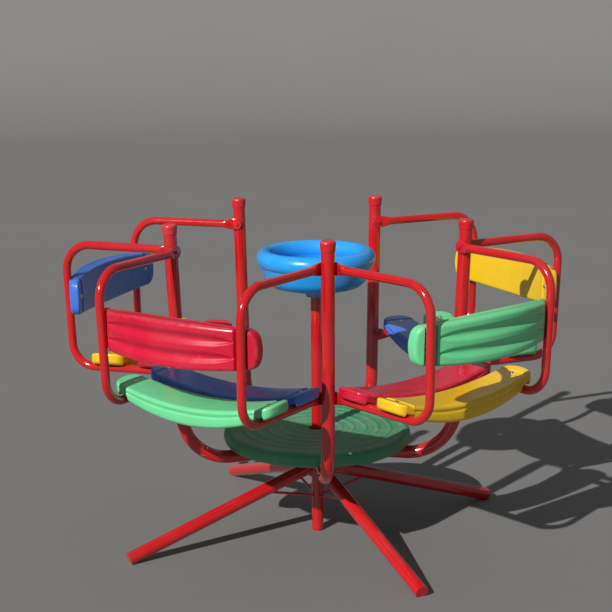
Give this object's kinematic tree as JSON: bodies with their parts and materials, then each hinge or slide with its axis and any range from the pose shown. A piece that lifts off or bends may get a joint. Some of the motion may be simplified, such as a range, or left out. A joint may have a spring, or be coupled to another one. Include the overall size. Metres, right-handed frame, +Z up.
{
  "type": "playground roundabout",
  "caption": "Playground roundabout: curved plank seats with loop armrests and a round foot disc turn on a four-legged stand, round a fixed hand wheel the riders pull on.",
  "frame": {"origin": "on the ground, in the middle of the column's lower end", "axes": "+Z up along the column, +Y from the column towards the open way in, +X to the right as seen from the front post"},
  "size_m": [1.4698, 1.2609, 0.9556],
  "materials": {
    "red_paint": "gloss",
    "red_cap": "satin",
    "crimson_plastic": "satin",
    "green_plastic": "satin",
    "blue_plastic": "satin",
    "yellow_plastic": "satin",
    "disc_green": "satin",
    "wheel_blue": "satin"
  },
  "bodies": {
    "stand": {"stand_hub": "red_paint", "centre_column": "red_paint", "hand_wheel": "wheel_blue", "leg_1": "red_paint", "leg_2": "red_paint", "leg_3": "red_paint", "leg_4": "red_paint", "stay_rod_1": "red_paint", "stay_rod_2": "red_paint", "stay_rod_3": "red_paint", "stay_rod_4": "red_paint"},
    "rotor": {"rotor_hub": "red_paint", "foot_disc": "disc_green", "front_post": "red_paint", "left_post": "red_paint", "right_post": "red_paint", "rear_left_post": "red_paint", "rear_right_post": "red_paint", "front_post_cap": "red_cap", "left_post_cap": "red_cap", "right_post_cap": "red_cap", "rear_left_post_cap": "red_cap", "rear_right_post_cap": "red_cap", "front_left_backrest": "crimson_plastic", "front_left_outer_plank": "green_plastic", "front_left_inner_plank": "blue_plastic", "front_left_rail_left": "red_paint", "front_left_rail_right": "red_paint", "front_right_backrest": "green_plastic", "front_right_outer_plank": "yellow_plastic", "front_right_inner_plank": "crimson_plastic", "front_right_rail_left": "red_paint", "front_right_rail_right": "red_paint", "rear_left_backrest": "blue_plastic", "rear_left_outer_plank": "yellow_plastic", "rear_left_inner_plank": "crimson_plastic", "rear_left_rail_left": "red_paint", "rear_left_rail_right": "red_paint", "rear_right_backrest": "yellow_plastic", "rear_right_outer_plank": "green_plastic", "rear_right_inner_plank": "blue_plastic", "rear_right_rail_left": "red_paint", "rear_right_rail_right": "red_paint"}
  },
  "joints": [
    {"name": "rotor_turn", "type": "hinge", "parent": "stand", "child": "rotor", "pos_m": [0, 0, 0], "axis": [0, 0, 1], "continuous": true}
  ]
}
